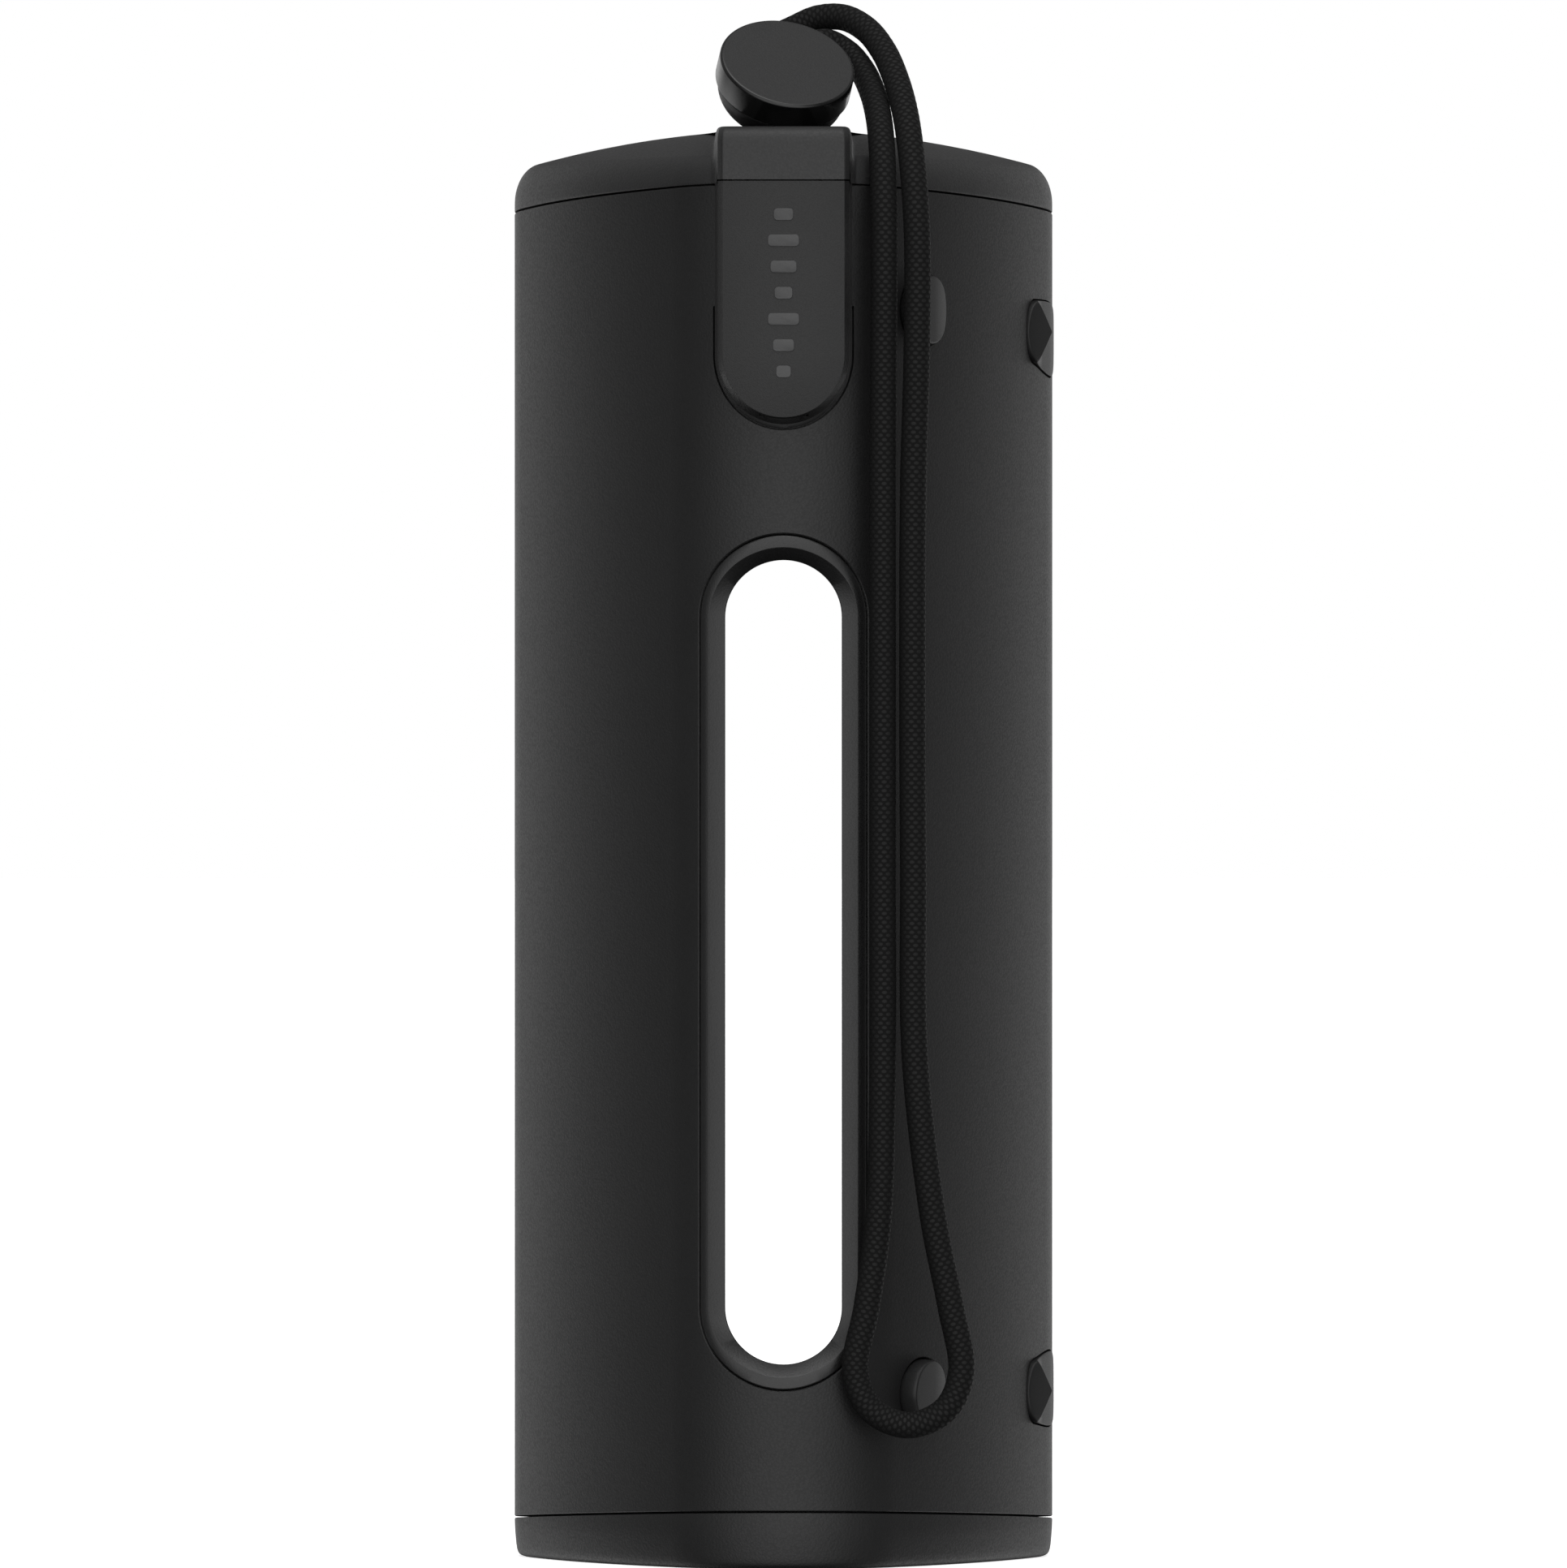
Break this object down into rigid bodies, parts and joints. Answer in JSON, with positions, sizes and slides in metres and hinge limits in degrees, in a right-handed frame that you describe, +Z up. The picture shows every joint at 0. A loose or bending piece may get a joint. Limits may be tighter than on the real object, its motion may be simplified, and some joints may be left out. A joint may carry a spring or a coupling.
{
  "type": "portable speaker carry case",
  "caption": "Rounded-triangle protective case for a pocket speaker, with lift-off lid, drop latch, soft feet, long hand slot and a wrist lanyard clamped in a round puck.",
  "frame": {"origin": "underside of the bottom cap, on the axis of the rounded triangle", "axes": "+Z up along the case towards the lid; -Y towards the apex edge with the slot and the latch; +X towards the side with the feet"},
  "size_m": [0.0665, 0.0659, 0.1903],
  "materials": {
    "shell": "fine leather-grain mould texture, near-black",
    "lid": "finer grain, near-black",
    "trim": "fine satin grain, near-black",
    "puck": "satin, near-black",
    "mark": "satin, dark grey",
    "rubber": "soft matte",
    "lining": "napped microfibre",
    "foam": "closed-cell foam",
    "cord": "braided cord",
    "steel": "plain"
  },
  "bodies": {
    "case": {"bottom_cap": "shell", "back_shell": "shell", "front_frame": "shell", "slot_bezel": "trim", "inner_liner": "lining", "bottom_pad": "foam", "latch_catch": "steel", "foot_upper_inner": "rubber", "foot_upper_outer": "rubber", "foot_lower_inner": "rubber", "foot_lower_outer": "rubber"},
    "lid": {"top_cap": "lid", "lid_skirt": "shell", "lid_seal": "rubber", "top_pad": "foam", "latch_pin": "steel", "anchor_bar": "steel", "tether_loop": "cord"},
    "latch": {"latch_lever": "trim", "level_plate": "mark"},
    "lanyard": {"puck_cap": "puck", "puck_cup": "puck", "lanyard_cord": "cord"}
  },
  "joints": [
    {"name": "lid_lift", "type": "slide", "parent": "case", "child": "lid", "axis": [0, 0, 1], "range_m": [0, 0.04]},
    {"name": "latch_lift", "type": "hinge", "parent": "lid", "child": "latch", "pos_m": [0, -0.0349, 0.1679], "axis": [-1, 0, 0], "range_deg": [0, 35]},
    {"name": "lanyard_swing", "type": "hinge", "parent": "lid", "child": "lanyard", "pos_m": [0, -0.02315, 0.1782], "axis": [-1, 0, 0], "range_deg": [0, 40]}
  ]
}
